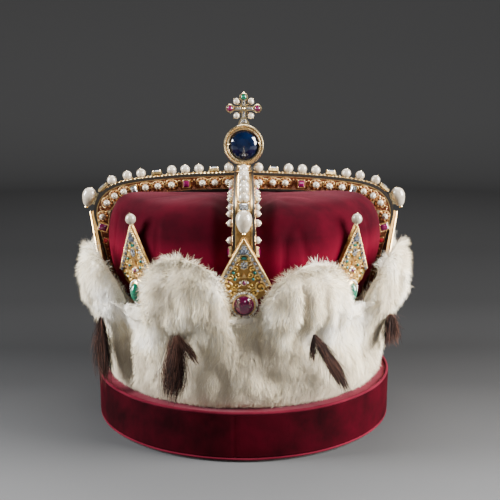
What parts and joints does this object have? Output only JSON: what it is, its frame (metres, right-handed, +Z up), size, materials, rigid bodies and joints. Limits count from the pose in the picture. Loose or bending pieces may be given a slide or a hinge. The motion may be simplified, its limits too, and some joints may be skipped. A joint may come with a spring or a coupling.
{
  "type": "ceremonial crown on display stand",
  "caption": "Closed ceremonial crown with velvet cap, crossed jewelled arches, kite-shaped ornaments, lobed fur brim with hanging tails and a ring-set stone under a cross, on a round stand.",
  "frame": {"origin": "centre of the underside of the round stand", "axes": "+Z up along the axis of the crown and stand; -Y is the front, which the large stone and cross face; +X is the right-hand side as seen from the front"},
  "size_m": [0.2678, 0.2678, 0.2598],
  "materials": {
    "stand_felt": "pressed felt, matt",
    "stand_board": "raw millboard, matt",
    "stand_velvet": "silk velvet, short dense pile",
    "stand_velvet_top": "silk velvet, pile lying towards the light",
    "velvet_piping": "velvet-covered cord",
    "gold": "polished gold",
    "gold_arch": "gold filigree over dark enamel, hand worked",
    "gold_fleuron": "pierced and engraved gold",
    "sweatband_leather": "smooth kid leather",
    "cap_velvet": "crimson silk velvet",
    "cap_silk": "silk twill lining",
    "pearl": "lustrous, warm white",
    "ruby": "polished cabochon, purple red",
    "emerald": "polished cabochon, green",
    "sapphire": "polished, deep blue",
    "ermine_fur": "dense soft fur, cream white",
    "ermine_tail": "long glossy hair, dark brown"
  },
  "bodies": {
    "stand": {"stand_felt_base": "stand_felt", "stand_drum": "stand_board", "stand_velvet_side": "stand_velvet", "stand_velvet_top": "stand_velvet_top", "stand_rim_piping": "velvet_piping", "stand_foot_piping": "velvet_piping", "stand_former": "stand_velvet_top"},
    "crown": {"circlet": "gold", "sweatband": "sweatband_leather", "velvet_cap": "cap_velvet", "cap_lining": "cap_silk", "arch_front": "gold_arch", "drop_pearl_front": "pearl", "fleuron_front": "gold_fleuron", "ruby_cabochon_front": "ruby", "arch_right": "gold_arch", "drop_pearl_right": "pearl", "fleuron_right": "gold_fleuron", "ruby_cabochon_right": "ruby", "arch_back": "gold_arch", "drop_pearl_back": "pearl", "fleuron_back": "gold_fleuron", "ruby_cabochon_back": "ruby", "arch_left": "gold_arch", "drop_pearl_left": "pearl", "fleuron_left": "gold_fleuron", "ruby_cabochon_left": "ruby", "fleuron_front_right": "gold_fleuron", "emerald_cabochon_front_right": "emerald", "finial_pearl_front_right": "pearl", "fleuron_back_right": "gold_fleuron", "emerald_cabochon_back_right": "emerald", "finial_pearl_back_right": "pearl", "fleuron_back_left": "gold_fleuron", "emerald_cabochon_back_left": "emerald", "finial_pearl_back_left": "pearl", "fleuron_front_left": "gold_fleuron", "emerald_cabochon_front_left": "emerald", "finial_pearl_front_left": "pearl", "crossing_block": "gold", "finial_collar": "gold", "sapphire_ring": "gold", "sapphire": "sapphire", "finial_cross": "gold", "ermine_pelt_1": "ermine_fur", "ermine_pelt_2": "ermine_fur", "ermine_pelt_3": "ermine_fur", "ermine_pelt_4": "ermine_fur", "ermine_pelt_5": "ermine_fur", "ermine_pelt_6": "ermine_fur", "ermine_pelt_7": "ermine_fur", "ermine_pelt_8": "ermine_fur"},
    "tail_1": {"ermine_tail_1": "ermine_tail"},
    "tail_2": {"ermine_tail_2": "ermine_tail"},
    "tail_3": {"ermine_tail_3": "ermine_tail"},
    "tail_4": {"ermine_tail_4": "ermine_tail"},
    "tail_5": {"ermine_tail_5": "ermine_tail"},
    "tail_6": {"ermine_tail_6": "ermine_tail"},
    "tail_7": {"ermine_tail_7": "ermine_tail"},
    "tail_8": {"ermine_tail_8": "ermine_tail"}
  },
  "joints": [
    {"name": "crown_lift", "type": "slide", "parent": "stand", "child": "crown", "axis": [0, 0, 1], "range_m": [0, 0.16]},
    {"name": "tail_1_swing", "type": "hinge", "parent": "crown", "child": "tail_1", "pos_m": [0.04898, -0.11826, 0.093], "axis": [0.3827, -0.9239, 0], "range_deg": [-68, 2]},
    {"name": "tail_2_swing", "type": "hinge", "parent": "crown", "child": "tail_2", "pos_m": [0.11029, -0.06496, 0.093], "axis": [0.8616, -0.5075, 0], "range_deg": [-49, 21]},
    {"name": "tail_3_swing", "type": "hinge", "parent": "crown", "child": "tail_3", "pos_m": [0.11647, 0.05308, 0.093], "axis": [0.91, 0.4147, 0], "range_deg": [-29, 41]},
    {"name": "tail_4_swing", "type": "hinge", "parent": "crown", "child": "tail_4", "pos_m": [0.04898, 0.11826, 0.093], "axis": [0.3827, 0.9239, 0], "range_deg": [-43, 27]},
    {"name": "tail_5_swing", "type": "hinge", "parent": "crown", "child": "tail_5", "pos_m": [-0.04273, 0.12066, 0.093], "axis": [-0.3338, 0.9426, 0], "range_deg": [-25, 45]},
    {"name": "tail_6_swing", "type": "hinge", "parent": "crown", "child": "tail_6", "pos_m": [-0.11989, 0.04483, 0.093], "axis": [-0.9367, 0.3502, 0], "range_deg": [-40, 30]},
    {"name": "tail_7_swing", "type": "hinge", "parent": "crown", "child": "tail_7", "pos_m": [-0.10795, -0.06877, 0.093], "axis": [-0.8434, -0.5373, 0], "range_deg": [-39, 31]},
    {"name": "tail_8_swing", "type": "hinge", "parent": "crown", "child": "tail_8", "pos_m": [-0.04691, -0.11909, 0.093], "axis": [-0.3665, -0.9304, 0], "range_deg": [-31, 39]}
  ]
}
